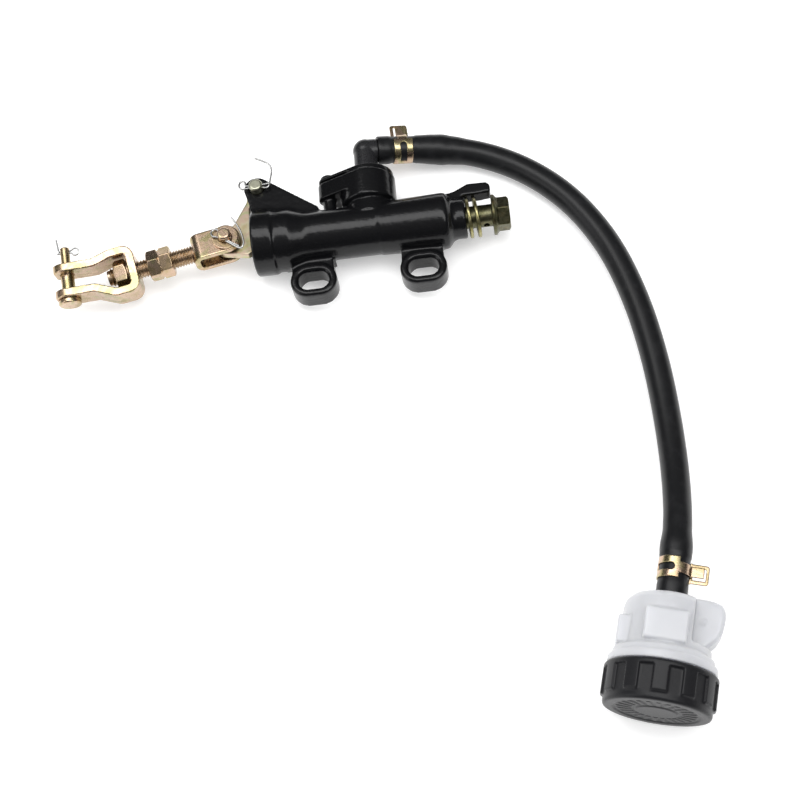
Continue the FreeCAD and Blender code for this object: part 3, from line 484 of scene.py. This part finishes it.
def eased(node, finish, slot, grain, rounds, *moulded_on):
    """A copy of a CAD node, and of any moulded in one with it, with rounded edges."""
    source = frame["nodes"][node]
    piece = bpy.data.objects.new(node + "_eased", source.data.copy())
    bpy.context.collection.objects.link(piece)
    pick(piece)
    for other in moulded_on:
        more = bpy.data.objects.new(other + "_copy", frame["nodes"][other].data.copy())
        bpy.context.collection.objects.link(more)
        more.select_set(True)
    if moulded_on:
        bpy.ops.object.join()
    weld(piece)
    skin = piece.modifiers.new("even skin", "REMESH")
    skin.mode = "VOXEL"
    skin.voxel_size = grain
    smooth = piece.modifiers.new("eased edges", "SMOOTH")
    smooth.factor = 0.5
    smooth.iterations = rounds
    bpy.ops.object.modifier_apply(modifier="even skin")
    bpy.ops.object.modifier_apply(modifier="eased edges")
    bpy.ops.object.shade_smooth()
    piece.data.materials.clear()
    piece.data.materials.append(finish)
    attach(piece, source["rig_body"])
    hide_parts(node, *moulded_on)
    print(node, "eased:", len(piece.data.polygons), "faces")
    return piece


eased("cylinder_body", gloss_black, "cast_black", 0.00050, 5)
eased("elbow_retainer", gloss_black, "cast_black", 0.00030, 5)

# %% [markdown]
# The lever, the bracket and the clevis fork are cut and bent from steel bar or plate. Their
# edges are rolled by the press tool, so a finer voxel and a few rounds of smoothing suit them.

# %% Lever, bracket and clevis
eased("lever", pale_zinc, "zinc_yellow", 0.00026, 5)
eased("link_bracket", gold_zinc, "zinc_yellow", 0.00024, 5)
eased("rod_clevis", gold_zinc, "zinc_yellow", 0.00028, 6)

# %% [markdown]
# The rod, its nuts and its washers are small turned pieces. The rod's thread is a row of
# ridges whose crests are a little rounded by the rolling dies, so it too is eased,
# with a voxel about an eighth of the pitch.

# %% Rod, nuts and washers
eased("threaded_rod", bronze_zinc, "zinc_yellow", 0.00015, 1)
eased("lock_nuts", gold_zinc, "zinc_yellow", 0.00020, 5)
eased("fork_nut", gold_zinc, "zinc_yellow", 0.00020, 5)
eased("spring_washer", bronze_zinc, "zinc_yellow", 0.00020, 4)
eased("link_washer", gold_zinc, "zinc_yellow", 0.00016, 4)

# %% [markdown]
# Three headed pins carry the linkage, and an olive bolt with two washers closes the outlet.
# All of them are turned, with small chamfers that the easing rounds off.

# %% Pins and outlet bolt
eased("pivot_pin", pin_steel, "zinc_pin", 0.00020, 4)
eased("link_pin", gold_zinc, "zinc_pin", 0.00020, 6)
eased("clevis_pin", gold_zinc, "zinc_yellow", 0.00020, 4)
eased("banjo_bolt", olive_zinc, "zinc_olive", 0.00024, 4)
eased("crush_washers", olive_gold, "washer_olive", 0.00020, 4)
eased("elbow_screw", dark_steel, "black_oxide", 0.00016, 3)

# %% [markdown]
# The clamps are spring bands with two ears. They sit on the hose, a medium-stiff hose
# that lies loose with both its ends in the object.

# %% Clamps
upper_clamp = eased("hose_clamp_upper", gold_zinc, "zinc_yellow", 0.00017, 3)
lower_clamp = eased("hose_clamp_lower", gold_zinc, "zinc_yellow", 0.00017, 3)

# %% [markdown]
# The elbow, the cup and the cap are mouldings. The tool's parting edges are tight but never
# sharp, so they get the same easing with a voxel chosen for their size.

# %% Mouldings
eased("inlet_elbow", elbow_black, "elbow_plastic", 0.00032, 5)
eased("reservoir_body", milky_cup, "cup_plastic", 0.00042, 5, "reservoir_ear")
eased("reservoir_cap", cap_black, "cap_plastic", 0.00034, 4)

# %% [markdown]
# A split pin is one wire folded back on itself: a ring eye, two legs through the cross hole and
# then the legs bent apart by hand. The bends are never the same, which is why they are drawn
# as free curves here. A NURBS curve with a round bevel gives the wire, and converting it to a
# mesh finishes it.

# %% Split pins
def split_pin(name, node, route, wire):
    """A bent wire that stands in for the CAD split pin; its route and radius are in millimetres."""
    piece = drawn_curve(name, [[value / 1000 for value in place] for place in route], steps=8)
    piece.data.bevel_depth = wire / 1000
    piece.data.bevel_resolution = 5
    piece.data.use_fill_caps = True
    pick(piece)
    bpy.ops.object.convert(target="MESH")
    piece = bpy.context.view_layer.objects.active
    bpy.ops.object.shade_smooth()
    piece.data.materials.clear()
    piece.data.materials.append(bright_wire)
    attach(piece, frame["nodes"][node]["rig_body"])
    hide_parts(node)
    print(name, "made:", len(piece.data.polygons), "faces")


split_pin("pivot_split_pin_bent", "pivot_split_pin", [
    (-39.9, 46.6, 17.4), (-42.4, 46.2, 17.4), (-45.9, 46.25, 17.4), (-49.6, 46.3, 17.4),
    (-50.6, 46.6, 17.4), (-50.4, 48.9, 17.4), (-52.6, 49.4, 17.4), (-53.6, 47.0, 17.4),
    (-52.4, 44.9, 17.4), (-50.6, 45.2, 17.4), (-49.4, 45.3, 17.4), (-45.9, 45.35, 17.4),
    (-43.0, 45.0, 17.4), (-41.6, 44.2, 17.5), (-40.0, 44.8, 17.6), (-39.1, 48.9, 17.9),
    (-38.2, 52.5, 18.2), (-38.9, 55.2, 18.5), (-41.4, 57.3, 18.8), (-45.4, 59.2, 19.2)], 0.43)
split_pin("link_split_pin_bent", "link_split_pin", [
    (-54.6, 17.0, 17.0), (-58.2, 19.4, 17.0), (-61.0, 21.9, 17.0), (-63.4, 23.4, 17.0),
    (-63.9, 24.2, 17.0), (-63.2, 25.9, 17.0), (-65.0, 27.1, 17.0), (-66.9, 25.6, 17.0),
    (-66.4, 23.4, 17.0), (-64.6, 22.9, 17.0), (-63.6, 22.5, 17.0), (-61.0, 21.0, 17.0),
    (-57.4, 18.2, 17.0), (-55.2, 16.4, 17.2), (-53.1, 15.6, 17.4), (-52.3, 18.8, 17.7),
    (-53.4, 23.4, 18.0), (-55.0, 27.2, 18.4), (-57.3, 30.6, 18.8)], 0.40)
split_pin("clevis_split_pin_bent", "clevis_split_pin", [
    (-136.9, 27.1, 12.0), (-135.8, 27.1, 12.0), (-133.5, 27.1, 12.0), (-131.2, 27.1, 12.0),
    (-130.4, 26.8, 12.0), (-129.4, 25.6, 11.8), (-127.4, 26.1, 11.8), (-127.3, 28.4, 12.2),
    (-129.2, 29.2, 12.4), (-130.4, 28.2, 12.2), (-131.2, 27.9, 12.1), (-133.5, 27.9, 12.1),
    (-135.4, 27.9, 12.1), (-136.3, 28.0, 12.2), (-136.5, 29.6, 12.3), (-136.9, 31.6, 12.4),
    (-137.4, 34.0, 12.6)], 0.42)

# %% [markdown]
# What lies inside the cylinder and under the cap is seen only when the piston moves or the cap
# comes off, yet it needs its finish too: an anodised piston, rubber cups, a spring of drawn
# wire, a circlip and a stop washer. Their CAD shapes are right, so they only get materials.

# %% Finishes of the inner pieces
inner_finishes = {
    "piston": anodised, "primary_cup": seal_rubber, "secondary_cup": seal_rubber,
    "stop_washer": pin_steel, "circlip": dark_steel,
    "dust_boot": seal_rubber, "inlet_grommet": seal_rubber, "diaphragm": seal_rubber,
    "diaphragm_plate": cap_black}
for node, finish in inner_finishes.items():
    frame["nodes"][node].data.materials.clear()
    frame["nodes"][node].data.materials.append(finish)
print("inner pieces finished:", len(inner_finishes))

# %% [markdown]
# The return spring stands between the piston and the blind end of the bore, and gets shorter
# as the piston comes in, by up to 7.5 mm at the limit of its slide; the lever stops a little
# before that. A welded copy of its coil, in spring steel, stands in for the CAD coil.

# %% Return spring
coil = bpy.data.objects.new("return_spring_wound", frame["nodes"]["return_spring"].data.copy())
bpy.context.collection.objects.link(coil)
weld(coil)
bpy.ops.object.shade_smooth_by_angle(angle=math.radians(60))
coil.data.materials.clear()
coil.data.materials.append(spring_steel)
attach(coil, "cylinder")
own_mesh(coil)
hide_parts("return_spring")

# %% [markdown]
# The part lies on a plain white table under one long soft box, as in a product picture. The box
# is narrow across the cylinder and long beside it, so that round black pieces show one clean
# bright line. The surroundings are bright overhead and darker at the horizon, which keeps
# gloss black from turning grey, while the camera itself sees only a pale background.

# %% Table and light
table_gap = 0.0002
bpy.ops.object.select_all(action="DESELECT")
bpy.ops.mesh.primitive_plane_add(size=6.0, location=(0.0, 0.0, 0.0))
table = bpy.context.view_layer.objects.active
table.name = "table"
for vertex in table.data.vertices:
    vertex.co.z = cad_box[0][2] - table_gap
white_table, shader, place = new_finish("white_table", Roughness=0.9)
feed(shader, "Base Color", blend_colour(speckle(place, 3.0), (0.80, 0.80, 0.80, 1), (0.82, 0.82, 0.82, 1)))
shader.inputs["Emission Color"].default_value = (1.0, 1.0, 1.0, 1.0)
shader.inputs["Emission Strength"].default_value = 0.32
table.data.materials.append(white_table)


def soft_box(name, place, aim, wide, deep, power):
    """A rectangular soft light at a place, turned towards a point."""
    light = bpy.data.lights.new(name, "AREA")
    light.shape = "RECTANGLE"
    light.size, light.size_y, light.energy = wide, deep, power
    lamp = bpy.data.objects.new(name, light)
    lamp.location = place
    lamp.rotation_euler = (Vector(place) - Vector(aim)).to_track_quat("Z", "Y").to_euler()
    bpy.context.collection.objects.link(lamp)


soft_box("top_box", (0.05, 0.02, 0.95), (0.02, -0.03, 0.0), wide=1.5, deep=0.42, power=8.5)
soft_box("left_box", (-0.95, -0.25, 0.55), (0.0, -0.03, 0.0), wide=0.6, deep=0.8, power=3.0)
world = bpy.data.worlds.new("studio")
bpy.context.scene.world = world
world.use_nodes = True
sky = world.node_tree.nodes["Background"]
direction = Signal(world.node_tree.nodes.new("ShaderNodeTexCoord").outputs["Generated"])
height = direction.node("ShaderNodeSeparateXYZ", {}, {"Vector": direction}, 2)
mirrored = grade(height, [
    (0.0, (0.04, 0.04, 0.04)), (0.45, (0.07, 0.07, 0.07)),
    (0.75, (0.20, 0.20, 0.20)), (1.0, (0.34, 0.34, 0.34))])
rays = world.node_tree.nodes.new("ShaderNodeLightPath").outputs
glossy, seen = Signal(rays["Is Glossy Ray"]), Signal(rays["Is Camera Ray"])
soft = blend_colour(glossy, (0.80, 0.80, 0.80, 1), mirrored)
feed(sky, "Color", blend_colour(seen, soft, (1.0, 1.0, 1.0, 1)))
sky.inputs["Strength"].default_value = 1.0
bpy.context.scene.view_settings.view_transform = "Standard"
print("table and two soft boxes placed")
